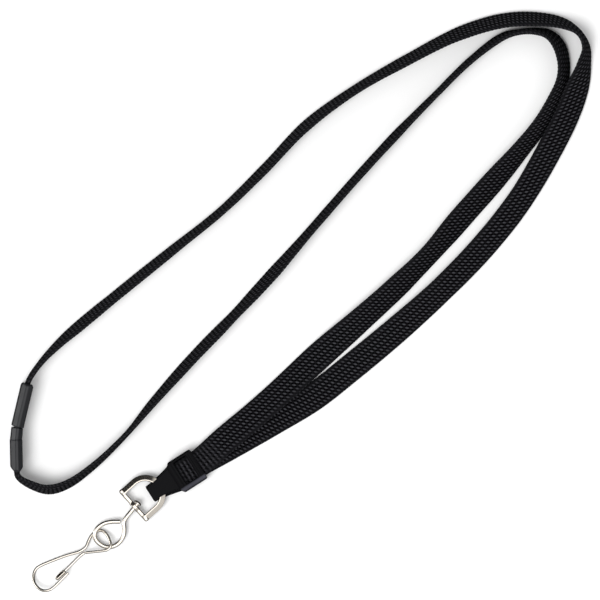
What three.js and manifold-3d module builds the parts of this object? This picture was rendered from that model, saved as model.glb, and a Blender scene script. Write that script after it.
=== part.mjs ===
// Badge lanyard: two flat braided straps joined by a breakaway connector at the wearer's neck, and by a
// moulded clamp that holds the D-ring of a swivelling wire J-hook. Millimetres, +Z up, lying on z = 0.
import * as THREE from 'three';
import { mergeVertices } from 'three/addons/utils/BufferGeometryUtils.js';
import Module from 'manifold-3d';

const wasm = await Module();
wasm.setup();

// ---- driving dimensions -------------------------------------------------------------------------
const GAP = 0.3; // free space between neighbouring pieces
const STRAP_WIDTH = 9.5;
const STRAP_THICKNESS = 1.9;
const STRAP_CHAMFER = 0.55;

const CLAMP_LENGTH = 9.6; // the strap pocket, without the nose
const CLAMP_WIDTH = 11.8;
const CLAMP_WALL = 0.85;
const CLAMP_FLOOR = 1.0;
const COVER_THICKNESS = 1.0;
const NOSE_LENGTH = 9.8;
const NOSE_TIP_WIDTH = 5.3;
const NOSE_ROOT_WIDTH = 9.3;
const NOSE_LEAF = 0.9;
const NOSE_HOLLOW = 4.2; // height of the loop that the D-ring passes through

const RING_HALF_WIDTH = 5.8; // D-ring, to the middle of its section
const RING_ARM = 5.2; // straight part of each arm
const RING_SECTION = 2.0;
const RING_BAR = 1.3; // thickness of the straight base bar
const RING_BOSS_RADIUS = 1.75;
const RING_HOLE_RADIUS = 1.05;
const RING_HOLE_OFFSET = -0.5;

const EYE_WIRE = 1.44; // wire diameters
const HOOK_WIRE = 0.96;
const GATE_TIP_WIDTH = 1.3;
const GATE_TIP_LENGTH = 3.8;

const BARREL_THICKNESS = 4.2;
const BARREL_HEIGHT = 11.6;
const BARREL_CHAMFER = 1.2;
const SOCKET_LENGTH = 15.2;
const PLUG_LENGTH = 11.1;
const NECK_LENGTH = 4.1;
const STEM_LENGTH = 7.2;
const STEM_HEIGHT = 7.4;
const STRAP_POCKET_DEPTH = 6.0;

// Where the assemblies lie, and how they are turned (degrees about Z, then down or along their own axis).
const CENTRE_SHIFT = [-0.25, -1.05]; // brings the middle of the whole object over the origin
const CLAMP_PLACE = { at: [-63.2, -20.4, 0], turn: -12.4 };
const RING_PLACE = { at: [-77.7, -15.55, 3.4], turn: -3.1, droop: -2.6 };
const EYE_PLACE = { at: [-88.7, -15.5, 2.9], turn: 186.9, droop: 2.6 };
const HOOK_PLACE = { at: [-112.2, -13.7, 2.25], turn: 169.9, droop: -1.35, roll: 26 };
const CONNECTOR_PLACE = { at: [-97.7, 31.6, 6.08], turn: 31.7, roll: 4 };
const PLUG_BEND = 14.5; // the plug's barrel follows the curve of the neck
const NECK_BEND = 7.4;

// ---- routes of the straps -----------------------------------------------------------------------
// Each station is x, y, the lean of the strap in degrees (0 flat, 90 on edge) and its lift off the floor.
// Both run from the clamp to the breakaway connector.
const OUTER_ROUTE = [
  [-71.0, -18.7, 0, 1.3], [-63.2, -20.4, 0, 1.3], [-50.6, -24.0, 0, 0.2], [-35.3, -28.2, 0, 0],
  [-20.0, -32.0, 0, 0], [-4.3, -33.9, 0, 0], [16.0, -35.8, 14, 0], [36.3, -36.9, 25, 0],
  [56.6, -36.6, 22, 0], [76.8, -34.2, 24, 0], [96.5, -29.1, 21, 0], [108.2, -25.2, 24, 0.1],
  [116.5, -21.5, 32, 0], [124.2, -17.2, 60, 0], [129.0, -13.5, 77, 0], [130.7, -8.7, 82, 0],
  [129.6, -3.4, 70, 0], [125.7, 2.8, 61, 0], [116.3, 12.0, 60, 0], [102.1, 19.9, 62, 0],
  [82.7, 26.3, 68, 0], [63.1, 31.6, 73, 0], [43.2, 34.6, 71, 0], [22.9, 34.2, 73, 0],
  [2.6, 34.5, 77, 0], [-17.6, 36.7, 74, 0], [-37.8, 38.9, 71, 0], [-57.9, 40.9, 69, 0],
  [-68.0, 41.6, 77, 0.2], [-77.3, 41.3, 85, 0.7], [-84.0, 39.9, 86, 1.1], [-89.3, 36.8, 86, 1.15],
];
const INNER_ROUTE = [
  [-71.0, -18.7, 0, 3.5], [-63.2, -20.4, 0, 3.5], [-50.7, -21.1, -8, 2.2], [-39.3, -22.1, -14, 1.4],
  [-25.4, -22.9, -14, 0.8], [-8.9, -23.5, 2, 0.2], [7.9, -24.6, 24, 0], [24.8, -25.5, 36, 0],
  [41.7, -25.6, 44, 0], [58.5, -24.4, 35, 0], [75.3, -23.4, 39, 0], [88.8, -22.4, 52, 0],
  [99.8, -21.1, 57, 0], [108.4, -18.7, 60, 0], [114.9, -16.1, 63, 0], [119.6, -12.2, 65, 0],
  [122.9, -6.6, 64, 0], [123.0, -1.5, 72, 0], [120.3, 2.7, 83, 0], [116.8, 5.9, 86, 0],
  [111.9, 8.8, 80, 0], [98.7, 10.9, 80, 0], [81.8, 11.1, 84, 0], [61.6, 10.9, 76, 0],
  [41.3, 10.0, 76, 0], [21.9, 8.7, 76, 0], [1.7, 7.3, 68, 0], [-18.6, 6.5, 72, 0],
  [-38.8, 6.2, 71, 0], [-59.1, 5.1, 78, 0], [-74.6, 3.8, 90, 0], [-89.5, 4.2, 97, 0],
  [-99.5, 6.0, 103, 0], [-105.2, 9.2, 106, 0], [-108.2, 14.4, 103, 0.5], [-109.3, 19.4, 96, 1.0],
  [-108.3, 21.3, 94, 1.15], [-104.8, 25.0, 94, 1.15],
];

// ---- helpers ------------------------------------------------------------------------------------
const radians = THREE.MathUtils.degToRad;

function solid(geometry) {
  const bare = geometry.index ? geometry.toNonIndexed() : geometry.clone();
  bare.deleteAttribute('normal');
  bare.deleteAttribute('uv');
  const merged = mergeVertices(bare, 1e-4);
  return new wasm.Manifold(new wasm.Mesh({
    numProp: 3,
    vertProperties: Float32Array.from(merged.attributes.position.array),
    triVerts: Uint32Array.from(merged.index.array),
  }));
}

function geometryOf(body) {
  const { vertProperties, triVerts } = body.getMesh();
  const geometry = new THREE.BufferGeometry();
  geometry.setAttribute('position', new THREE.BufferAttribute(vertProperties, 3));
  geometry.setIndex(new THREE.BufferAttribute(triVerts, 1));
  return geometry;
}

function outline(points) {
  return new THREE.Shape(points.map(([x, y]) => new THREE.Vector2(x, y)));
}

// An outline drawn in XY, extruded up from z = low to z = high.
function plate(points, low, high) {
  const geometry = new THREE.ExtrudeGeometry(outline(points), { depth: high - low, bevelEnabled: false });
  return solid(geometry.translate(0, 0, low));
}

// An outline drawn in YZ, extruded along X.
function bar(points, low, high) {
  const geometry = new THREE.ExtrudeGeometry(outline(points), { depth: high - low, bevelEnabled: false });
  const turn = new THREE.Matrix4().makeBasis(
    new THREE.Vector3(0, 1, 0), new THREE.Vector3(0, 0, 1), new THREE.Vector3(1, 0, 0));
  return solid(geometry.applyMatrix4(turn).translate(low, 0, 0));
}

function block(x0, x1, y0, y1, z0, z1) {
  return plate([[x0, y0], [x1, y0], [x1, y1], [x0, y1]], z0, z1);
}

// A rectangle centred on the axis, with its four corners cut off.
function chamfered(width, height, chamfer) {
  const w = width / 2;
  const h = height / 2;
  return [[w, chamfer - h], [w, h - chamfer], [w - chamfer, h], [chamfer - w, h],
    [-w, h - chamfer], [-w, chamfer - h], [chamfer - w, -h], [w - chamfer, -h]];
}

function ellipse(radiusX, radiusY, sides) {
  return Array.from({ length: sides }, (_, i) => {
    const angle = ((i + 0.5) / sides) * 2 * Math.PI;
    return [radiusX * Math.cos(angle), radiusY * Math.sin(angle)];
  });
}

function sweep(path, section, steps) {
  return new THREE.ExtrudeGeometry(outline(section), { steps, extrudePath: path, bevelEnabled: false });
}

// A wire bent in its own XY plane.
function wire(points, diameter, steps) {
  const path = new THREE.CatmullRomCurve3(points.map(([x, y]) => new THREE.Vector3(x, y, 0)));
  return sweep(path, ellipse(diameter / 2, diameter / 2, 10), steps);
}

// Half the height of the strap's section when it leans, so that its lowest corner just meets the floor.
function halfHeight(lean) {
  const across = Math.abs(Math.sin(radians(lean)));
  const through = Math.abs(Math.cos(radians(lean)));
  return Math.max(...chamfered(STRAP_WIDTH, STRAP_THICKNESS, STRAP_CHAMFER)
    .map(([w, t]) => Math.abs(w) * across + Math.abs(t) * through));
}

// A flat strap's route: the section's width leans from flat on the floor to standing on its edge.
class StrapPath extends THREE.CatmullRomCurve3 {
  constructor(stations) {
    super(stations.map(([x, y, lean, lift]) => new THREE.Vector3(x, y, lift + halfHeight(lean))),
      false, 'centripetal');
    this.leans = stations.map((station) => radians(station[2]));
  }

  getSpacedPoints(divisions) {
    return this.getPoints(divisions);
  }

  leanAt(t) {
    const place = t * (this.leans.length - 1);
    const low = Math.min(Math.floor(place), this.leans.length - 2);
    return THREE.MathUtils.lerp(this.leans[low], this.leans[low + 1], place - low);
  }

  computeFrenetFrames(segments) {
    const frames = { tangents: [], normals: [], binormals: [] };
    for (let i = 0; i <= segments; i += 1) {
      const tangent = this.getTangent(i / segments);
      const side = new THREE.Vector3(0, 0, 1).cross(tangent).normalize();
      const up = tangent.clone().cross(side);
      const lean = this.leanAt(i / segments);
      const across = side.multiplyScalar(Math.cos(lean)).addScaledVector(up, Math.sin(lean));
      frames.tangents.push(tangent);
      frames.normals.push(across);
      frames.binormals.push(tangent.clone().cross(across));
    }
    return frames;
  }
}

// The D-ring's curved part, from one end of the base bar round to the other, with x = 0 at its top.
class RingArc extends THREE.Curve {
  getPoint(t, target = new THREE.Vector3()) {
    const bend = Math.PI * RING_HALF_WIDTH;
    const travel = t * (bend + 2 * RING_ARM);
    const centre = -RING_HALF_WIDTH;
    if (travel < RING_ARM) {
      return target.set(centre - RING_ARM + travel, -RING_HALF_WIDTH, 0);
    }
    if (travel > RING_ARM + bend) {
      return target.set(centre - (travel - RING_ARM - bend), RING_HALF_WIDTH, 0);
    }
    const angle = (travel - RING_ARM) / RING_HALF_WIDTH - Math.PI / 2;
    return target.set(centre + RING_HALF_WIDTH * Math.cos(angle), RING_HALF_WIDTH * Math.sin(angle), 0);
  }
}

function piece(name, geometry, material) {
  const mesh = new THREE.Mesh(geometry, material);
  mesh.name = name;
  return mesh;
}

function place(children, { at, turn, droop = 0, roll = 0 }) {
  const group = new THREE.Group();
  group.position.set(...at);
  group.rotation.set(radians(roll), radians(droop), radians(turn), 'ZYX');
  group.add(...children);
  return group;
}

function braid() {
  return new THREE.MeshStandardMaterial({ color: 0x0d0d0e, roughness: 0.75, metalness: 0 });
}

function plastic() {
  return new THREE.MeshStandardMaterial({ color: 0x151618, roughness: 0.45, metalness: 0 });
}

function nickel() {
  return new THREE.MeshStandardMaterial({ color: 0xd8d0c4, roughness: 0.2, metalness: 1 });
}

// ---- straps -------------------------------------------------------------------------------------
function strap(name, route) {
  const section = chamfered(STRAP_WIDTH, STRAP_THICKNESS, STRAP_CHAMFER);
  return piece(name, sweep(new StrapPath(route), section, route.length - 1), braid());
}

// ---- clamp --------------------------------------------------------------------------------------
// x = 0 is the mouth that the straps enter, and the nose points along -x.
const POCKET_HEIGHT = 2 * STRAP_THICKNESS + 3 * GAP;
const WALL_TOP = CLAMP_FLOOR + POCKET_HEIGHT - GAP;
const COVER_LOW = WALL_TOP + GAP;
const COVER_TOP = COVER_LOW + COVER_THICKNESS;
const NOSE_TIP = -CLAMP_LENGTH - NOSE_LENGTH;
const NOSE_MIDDLE = RING_PLACE.at[2];
const LEAF_LOW = NOSE_MIDDLE - NOSE_HOLLOW / 2 - NOSE_LEAF;
const LEAF_HIGH = NOSE_MIDDLE + NOSE_HOLLOW / 2;

function noseTaper(low, high) {
  const tip = NOSE_TIP_WIDTH / 2;
  const root = NOSE_ROOT_WIDTH / 2;
  const corner = 0.8;
  return plate([[NOSE_TIP, corner - tip], [NOSE_TIP + corner, -tip], [0.5 - CLAMP_LENGTH, -root],
    [0.5 - CLAMP_LENGTH, root], [NOSE_TIP + corner, tip], [NOSE_TIP, tip - corner]], low, high);
}

function clampBase() {
  const half = CLAMP_WIDTH / 2;
  const corner = 0.8;
  const shell = bar([[corner - half, 0], [half - corner, 0], [half, corner], [half, WALL_TOP],
    [-half, WALL_TOP], [-half, corner]], -CLAMP_LENGTH, 0);
  const inside = half - CLAMP_WALL;
  const pocket = block(CLAMP_WALL - CLAMP_LENGTH, 1, -inside, inside, CLAMP_FLOOR, WALL_TOP + 1);
  const lowerLeaf = noseTaper(LEAF_LOW, LEAF_LOW + NOSE_LEAF);
  const fold = noseTaper(LEAF_LOW, LEAF_HIGH - GAP)
    .intersect(block(NOSE_TIP - 1, NOSE_TIP + NOSE_LEAF, -half, half, 0, COVER_TOP));
  return piece('clamp_base', geometryOf(shell.subtract(pocket).add(lowerLeaf).add(fold)), plastic());
}

function clampCover() {
  const half = CLAMP_WIDTH / 2;
  const corner = 0.6;
  const lid = bar([[-half, COVER_LOW], [half, COVER_LOW], [half, COVER_TOP - corner],
    [half - corner, COVER_TOP], [corner - half, COVER_TOP], [-half, COVER_TOP - corner]], -CLAMP_LENGTH, 0);
  const window = block(-7.0, -2.4, -3.9, 3.9, COVER_LOW - 1, COVER_TOP + 1);
  const groove = block(-8.5, -8.0, -4.4, 4.4, COVER_TOP - 0.35, COVER_TOP + 1);
  const upperLeaf = noseTaper(LEAF_HIGH, LEAF_HIGH + NOSE_LEAF);
  return piece('clamp_cover', geometryOf(lid.add(upperLeaf).subtract(window).subtract(groove)), plastic());
}

// ---- D-ring -------------------------------------------------------------------------------------
// Its origin is the middle of the bend that sits in the clamp's nose, and the base bar lies at -x.
function dRing() {
  const base = -RING_HALF_WIDTH - RING_ARM;
  const arc = solid(sweep(new RingArc(), ellipse(RING_SECTION / 2, RING_SECTION / 2, 12), 32));
  const reach = RING_HALF_WIDTH + RING_SECTION / 2 - 0.1;
  const flat = block(base - RING_BAR / 2, base + RING_BAR / 2, -reach, reach, -0.85, 0.85);
  const along = new THREE.Matrix4().makeRotationZ(Math.PI / 2);
  const disc = (radius, length) => solid(new THREE.CylinderGeometry(radius, radius, length, 24)
    .applyMatrix4(along).translate(base, RING_HOLE_OFFSET, 0));
  const ring = arc.add(flat).add(disc(RING_BOSS_RADIUS, RING_BAR)).subtract(disc(RING_HOLE_RADIUS, 4));
  return piece('d_ring', geometryOf(ring), nickel());
}

// ---- swivel eye ---------------------------------------------------------------------------------
// x runs from the D-ring's hole along the shank; the wire closes into a drop-shaped eye.
function swivelEye() {
  const shankAndEye = [[-1.6, 0], [2, 0], [5.3, 0], [6.5, 0.35], [8.4, 2.0], [10.2, 3.05], [12.4, 3.35],
    [14.2, 3.0], [15.7, 2.1], [16.8, 0.7], [17.3, -1.3], [17.1, -3.3], [16.2, -4.7], [14.8, -5.4],
    [12.9, -5.4], [10.8, -4.6], [8.9, -3.0], [7.4, -1.15]];
  const bent = solid(wire(shankAndEye, EYE_WIRE, 46));
  const head = new THREE.LatheGeometry([[0, 0], [1.35, 0], [1.35, 0.45], [0.9, 0.85], [0, 0.85]]
    .map(([r, h]) => new THREE.Vector2(r, h)), 20);
  head.applyMatrix4(new THREE.Matrix4().makeRotationZ(Math.PI / 2)).translate(-1.25, 0, 0);
  return piece('swivel_eye', geometryOf(bent.add(solid(head))), nickel());
}

// ---- J-hook -------------------------------------------------------------------------------------
// x runs from the pinched neck to the crook. The spring gate is the free end of the same wire.
function hookWire() {
  const route = [[7.8, 3.45], [8.7, 3.6], [10.7, 4.0], [12.7, 4.4], [14.3, 4.7], [16.0, 4.75], [17.6, 4.05],
    [18.7, 2.75], [19.2, 0.9], [19.1, -0.9], [18.3, -2.8], [17.1, -4.1], [15.6, -4.75], [13.8, -4.6],
    [11.6, -4.1], [8.4, -3.25], [5.3, -2.35], [2.9, -1.45], [0.6, -0.65], [-2.0, -0.7], [-3.8, -1.95],
    [-5.6, -2.95], [-7.8, -3.25], [-9.5, -2.4], [-10.2, -0.4], [-10.0, 2.1], [-9.1, 4.3], [-7.7, 4.8],
    [-6.2, 4.2], [-3.3, 2.5], [-0.8, 0.95]];
  return piece('hook_wire', wire(route, HOOK_WIRE, 90), nickel());
}

function hookGate() {
  const route = [[-0.3, 0.75], [1.0, 0.75], [3.1, 1.1], [5.8, 1.65], [8.2, 2.1], [12.1, 2.75]];
  const arm = solid(wire(route, HOOK_WIRE, 22));
  const paddle = plate(chamfered(GATE_TIP_LENGTH, HOOK_WIRE, 0.2), -GATE_TIP_WIDTH / 2, GATE_TIP_WIDTH / 2)
    .rotate([0, 0, 9.5]).translate([10.4, 2.45, 0]);
  return piece('hook_gate', geometryOf(arm.add(paddle)), nickel());
}

// ---- breakaway connector ------------------------------------------------------------------------
// x = 0 is the parting line, and the socket lies along +x. The outline of each barrel in plan rounds its end.
function barrel(low, high, taper) {
  const half = BARREL_THICKNESS / 2;
  const shape = bar(chamfered(BARREL_THICKNESS, BARREL_HEIGHT, BARREL_CHAMFER), low, high);
  const plan = plate([[low, -half], [high - taper, -half], [high, taper * 0.7 - half],
    [high, half - taper * 0.7], [high - taper, half], [low, half]], -BARREL_HEIGHT, BARREL_HEIGHT);
  return shape.intersect(plan);
}

function pocketFor(low, high, thickness, height) {
  return block(low, high, -thickness / 2 - GAP, thickness / 2 + GAP, -height / 2 - GAP, height / 2 + GAP);
}

function breakawaySocket() {
  const strapPocket = pocketFor(SOCKET_LENGTH - STRAP_POCKET_DEPTH, SOCKET_LENGTH + 1, STRAP_THICKNESS, STRAP_WIDTH);
  const bore = pocketFor(-1, STEM_LENGTH + 0.6, 2.2, STEM_HEIGHT);
  const body = barrel(0.15, SOCKET_LENGTH, 0.8).subtract(strapPocket).subtract(bore);
  return piece('breakaway_socket', geometryOf(body), plastic());
}

function breakawayPlug() {
  const stem = plate([[-1.5, -1], [4.4, -1], [5.1, -1.2], [6.0, -1.2], [STEM_LENGTH, -0.6],
    [STEM_LENGTH, 0.6], [6.0, 1.2], [5.1, 1.2], [4.4, 1], [-1.5, 1]], -STEM_HEIGHT / 2, STEM_HEIGHT / 2);
  const neck = bar(chamfered(BARREL_THICKNESS - 0.5, BARREL_HEIGHT - 1, BARREL_CHAMFER - 0.2), -5.5, -0.45)
    .rotate([0, 0, NECK_BEND]);
  const strapPocket = pocketFor(PLUG_LENGTH - STRAP_POCKET_DEPTH, PLUG_LENGTH + 1, STRAP_THICKNESS, STRAP_WIDTH);
  const body = barrel(0, PLUG_LENGTH, 1.9).subtract(strapPocket).rotate([0, 0, 180 + PLUG_BEND])
    .translate([-NECK_LENGTH, -0.53, 0]);
  return piece('breakaway_plug', geometryOf(stem.add(neck).add(body)), plastic());
}

// ---- assembly -----------------------------------------------------------------------------------
const lanyard = new THREE.Group();
lanyard.position.set(...CENTRE_SHIFT, 0);
lanyard.add(
  strap('strap_outer', OUTER_ROUTE),
  strap('strap_inner', INNER_ROUTE),
  place([clampBase(), clampCover()], CLAMP_PLACE),
  place([dRing()], RING_PLACE),
  place([swivelEye()], EYE_PLACE),
  place([hookWire(), hookGate()], HOOK_PLACE),
  place([breakawaySocket(), breakawayPlug()], CONNECTOR_PLACE),
);

const assembly = new THREE.Group();
assembly.add(lanyard);
export default assembly;
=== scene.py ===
"""Badge lanyard: two black braided straps, a breakaway connector, a strap clamp, a D-ring and a wire J-hook.

Lengths are in millimetres until a mesh is made. X runs from the hook to the far bend of the strap.
"""

import math

import bpy
import numpy as np
from mathutils import Matrix, Vector


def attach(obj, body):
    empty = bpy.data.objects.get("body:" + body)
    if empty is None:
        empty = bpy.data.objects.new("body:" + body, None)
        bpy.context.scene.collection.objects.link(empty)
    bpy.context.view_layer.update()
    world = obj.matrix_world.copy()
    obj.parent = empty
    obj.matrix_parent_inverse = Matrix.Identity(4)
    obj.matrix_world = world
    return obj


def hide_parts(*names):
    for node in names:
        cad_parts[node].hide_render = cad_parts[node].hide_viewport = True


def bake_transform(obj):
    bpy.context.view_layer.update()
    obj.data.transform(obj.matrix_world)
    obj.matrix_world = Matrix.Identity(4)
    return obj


MM = 0.001
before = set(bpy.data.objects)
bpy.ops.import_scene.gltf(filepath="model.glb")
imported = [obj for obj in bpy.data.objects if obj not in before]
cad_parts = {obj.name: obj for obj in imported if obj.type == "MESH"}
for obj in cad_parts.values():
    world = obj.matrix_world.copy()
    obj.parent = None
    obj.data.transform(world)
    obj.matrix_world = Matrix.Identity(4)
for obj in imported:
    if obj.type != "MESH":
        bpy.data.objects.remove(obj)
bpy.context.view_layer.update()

# ---- places of the assemblies, as the CAD has them -------------------------------------------------
CENTRE_SHIFT = np.array([-0.25, -1.05, 0.0])
CLAMP_PLACE = ((-63.2, -20.4, 0.0), -12.4, 0.0, 0.0)  # position, then turn, droop and roll in degrees
RING_PLACE = ((-77.7, -15.55, 3.4), -3.1, -2.6, 0.0)
EYE_PLACE = ((-88.7, -15.5, 2.9), 186.9, 2.6, 0.0)
HOOK_PLACE = ((-112.2, -13.7, 2.25), 169.9, -1.35, 26.0)
CONNECTOR_PLACE = ((-97.7, 31.6, 6.08), 31.7, 0.0, 4.0)

# ---- camera ----------------------------------------------------------------------------------------
VIEW_WIDTH = 202.8  # what the picture takes in, at the height of the straps
VIEW_CENTRE = Vector((-0.07, -6.62, 4.0))
CAMERA_HEIGHT = 3000.0
CAMERA_TURN = -45.0


def make_camera():
    data = bpy.data.cameras.new("camera")
    data.sensor_width = 36.0
    data.lens = data.sensor_width * (CAMERA_HEIGHT - VIEW_CENTRE.z) / VIEW_WIDTH
    data.clip_start = 0.1
    data.clip_end = 20.0
    camera = bpy.data.objects.new("camera", data)
    camera.location = Vector((VIEW_CENTRE.x, VIEW_CENTRE.y, CAMERA_HEIGHT)) * MM
    camera.rotation_euler = (0.0, 0.0, math.radians(CAMERA_TURN))
    bpy.context.scene.collection.objects.link(camera)
    bpy.context.scene.camera = camera


make_camera()


# ---- mesh helpers ----------------------------------------------------------------------------------
def place_matrix(place):
    """The 4x4 that carries an assembly's own millimetres into the row frame, still in millimetres."""
    at, turn, droop, roll = place
    spin = (
        Matrix.Rotation(math.radians(turn), 4, "Z")
        @ Matrix.Rotation(math.radians(droop), 4, "Y")
        @ Matrix.Rotation(math.radians(roll), 4, "X")
    )
    return Matrix.Translation(Vector(at) + Vector(CENTRE_SHIFT)) @ spin


def new_piece(name, points, faces, uv=None):
    """A smooth-shaded mesh object from points in millimetres. uv holds one pair per face corner."""
    mesh = bpy.data.meshes.new(name)
    mesh.from_pydata([tuple(p * MM) for p in np.asarray(points, float)], [], faces)
    if uv is not None:
        layer = mesh.uv_layers.new(name="girth_and_run")
        layer.data.foreach_set("uv", np.asarray(uv, np.float32).ravel())
    mesh.polygons.foreach_set("use_smooth", [True] * len(mesh.polygons))
    mesh.update()
    piece = bpy.data.objects.new(name, mesh)
    bpy.context.scene.collection.objects.link(piece)
    return piece


# ---- straps ----------------------------------------------------------------------------------------
STRAP_WIDTH = 9.5
STRAP_THICKNESS = 1.9
STRAP_CHAMFER = 0.55
EDGE_POWER, FACE_POWER = 3.4, 2.2  # how square the flattened tube's outline is, along its width and thickness
OUTLINE_SAMPLES = 4001
CROWNS_ROUND = 12  # crowns of the braid round the flattened tube
CROWN_RUN = 1.42  # length of one crown's repeat along the strap
CROWN_WIDTH = 1.78  # width of one crown's repeat round the tube
CROWN_RELIEF = 0.09
FOLD_RELIEF = 0.1  # how much of it is left at the two folded edges
STEPS_ROUND = 5 * CROWNS_ROUND
STEP_RUN = CROWN_RUN / 4
LEAN_WAVER, LEAN_PERIOD = math.radians(1.6), 9.0
SWELL_WAVER, SWELL_PERIOD = 0.05, 6.0  # unevenness of the thickness, as a share of it

# Each station is x, y, the lean in degrees (0 flat, 90 on edge) and the lift off the floor, from the clamp
# to the breakaway connector.
OUTER_ROUTE = [
    (-71.0, -18.7, 0, 1.3), (-63.2, -20.4, 0, 1.3), (-50.6, -24.0, 0, 0.2), (-35.3, -28.2, 0, 0),
    (-20.0, -32.0, 0, 0), (-4.3, -33.9, 0, 0), (16.0, -35.8, 14, 0), (36.3, -36.9, 25, 0),
    (56.6, -36.6, 22, 0), (76.8, -34.2, 24, 0), (96.5, -29.1, 21, 0), (108.2, -25.2, 24, 0.1),
    (116.5, -21.5, 32, 0), (124.2, -17.2, 60, 0), (129.0, -13.5, 77, 0), (130.7, -8.7, 82, 0),
    (129.6, -3.4, 70, 0), (125.7, 2.8, 61, 0), (116.3, 12.0, 60, 0), (102.1, 19.9, 62, 0),
    (82.7, 26.3, 68, 0), (63.1, 31.6, 73, 0), (43.2, 34.6, 71, 0), (22.9, 34.2, 73, 0),
    (2.6, 34.5, 77, 0), (-17.6, 36.7, 74, 0), (-37.8, 38.9, 71, 0), (-57.9, 40.9, 69, 0),
    (-68.0, 41.6, 77, 0.2), (-77.3, 41.3, 85, 0.7), (-84.0, 39.9, 86, 1.1), (-89.3, 36.8, 86, 1.15),
]
INNER_ROUTE = [
    (-71.0, -18.7, 0, 3.5), (-63.2, -20.4, 0, 3.5), (-50.7, -21.1, -8, 2.2), (-39.3, -22.1, -14, 1.4),
    (-25.4, -22.9, -14, 0.8), (-8.9, -23.5, 2, 0.2), (7.9, -24.6, 24, 0), (24.8, -25.5, 36, 0),
    (41.7, -25.6, 44, 0), (58.5, -24.4, 35, 0), (75.3, -23.4, 39, 0), (88.8, -22.4, 52, 0),
    (99.8, -21.1, 57, 0), (108.4, -18.7, 60, 0), (114.9, -16.1, 63, 0), (119.6, -12.2, 65, 0),
    (122.9, -6.6, 64, 0), (123.0, -1.5, 72, 0), (120.3, 2.7, 83, 0), (116.8, 5.9, 86, 0),
    (111.9, 8.8, 80, 0), (98.7, 10.9, 80, 0), (81.8, 11.1, 84, 0), (61.6, 10.9, 76, 0),
    (41.3, 10.0, 76, 0), (21.9, 8.7, 76, 0), (1.7, 7.3, 68, 0), (-18.6, 6.5, 72, 0),
    (-38.8, 6.2, 71, 0), (-59.1, 5.1, 78, 0), (-74.6, 3.8, 90, 0), (-89.5, 4.2, 97, 0),
    (-99.5, 6.0, 103, 0), (-105.2, 9.2, 106, 0), (-108.2, 14.4, 103, 0.5), (-109.3, 19.4, 96, 1.0),
    (-108.3, 21.3, 94, 1.15), (-104.8, 25.0, 94, 1.15),
]


def half_height(lean):
    """Half the height of the leaning section, so that its lowest corner just meets the floor."""
    across, through = abs(math.sin(lean)), abs(math.cos(lean))
    wide, thick = STRAP_WIDTH / 2, STRAP_THICKNESS / 2
    return max(
        wide * across + (thick - STRAP_CHAMFER) * through,
        (wide - STRAP_CHAMFER) * across + thick * through,
    )


def smooth_curve(rows, per_station=24):
    """A centripetal Catmull-Rom curve through the rows' first three columns; the other columns go along."""
    rows = np.asarray(rows, float)
    rows = np.vstack([2 * rows[0] - rows[1], rows, 2 * rows[-1] - rows[-2]])
    knots = np.sqrt(np.linalg.norm(np.diff(rows[:, :3], axis=0), axis=1))
    made = []
    for i in range(1, len(rows) - 2):
        before, start, end, after = rows[i - 1 : i + 3]
        d0, d1, d2 = knots[i - 1 : i + 2]
        leave = d1 * ((start - before) / d0 - (end - before) / (d0 + d1) + (end - start) / d1)
        arrive = d1 * ((end - start) / d1 - (after - start) / (d1 + d2) + (after - end) / d2)
        last = i == len(rows) - 3
        t = np.linspace(0, 1, per_station + last, endpoint=last)[:, None]
        square = -3 * start + 3 * end - 2 * leave - arrive
        cube = 2 * start - 2 * end + leave + arrive
        made.append(start + leave * t + square * t**2 + cube * t**3)
    return np.vstack(made)


def evenly(rows, step):
    """The same curve with its rows a fixed step apart along it."""
    run = np.concatenate([[0], np.cumsum(np.linalg.norm(np.diff(rows[:, :3], axis=0), axis=1))])
    places = np.linspace(0, run[-1], max(2, round(run[-1] / step) + 1))
    return np.column_stack([np.interp(places, run, rows[:, k]) for k in range(rows.shape[1])]), places


def unit(vectors):
    return vectors / np.linalg.norm(vectors, axis=-1, keepdims=True)


def slab_section():
    """Outline of the flattened tube, evenly stepped along its girth: its places and outward normals."""
    angle = np.linspace(0, 2 * math.pi, OUTLINE_SAMPLES)
    line = np.column_stack([
        np.sign(swing) * np.abs(swing) ** (2 / power) * (size / 2 - CROWN_RELIEF)
        for swing, power, size in (
            (np.cos(angle), EDGE_POWER, STRAP_WIDTH),
            (np.sin(angle), FACE_POWER, STRAP_THICKNESS),
        )
    ])
    run = np.concatenate([[0], np.cumsum(np.linalg.norm(np.diff(line, axis=0), axis=1))])
    places = np.linspace(0, run[-1], STEPS_ROUND, endpoint=False)
    points = np.column_stack([np.interp(places, run, line[:, k]) for k in range(2)])
    along = unit(np.roll(points, -1, axis=0) - np.roll(points, 1, axis=0))
    return points, np.column_stack([along[:, 1], -along[:, 0]])


def waver(places, seed, period):
    """A slow, repeatable unevenness between -1 and 1 along the strap."""
    draw = np.random.RandomState(seed)
    knots = draw.uniform(-1, 1, int(places[-1] / period) + 4)
    at = places / period
    low = at.astype(int)
    share = at - low
    ease = share * share * (3 - 2 * share)
    return knots[low] * (1 - ease) + knots[low + 1] * ease


def tube_faces(rings, sides):
    """The ring and spoke where each quad of a tube starts, and its faces: the quads, then two end caps."""
    ring, spoke = np.meshgrid(np.arange(rings - 1), np.arange(sides), indexing="ij")
    after = (spoke + 1) % sides
    low, high = ring * sides, (ring + 1) * sides
    quads = np.stack([low + spoke, low + after, high + after, high + spoke], axis=-1).reshape(-1, 4)
    first_cap = list(range(sides))[::-1]
    last_cap = [(rings - 1) * sides + k for k in range(sides)]
    return ring, spoke, quads.tolist() + [first_cap, last_cap]


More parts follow.
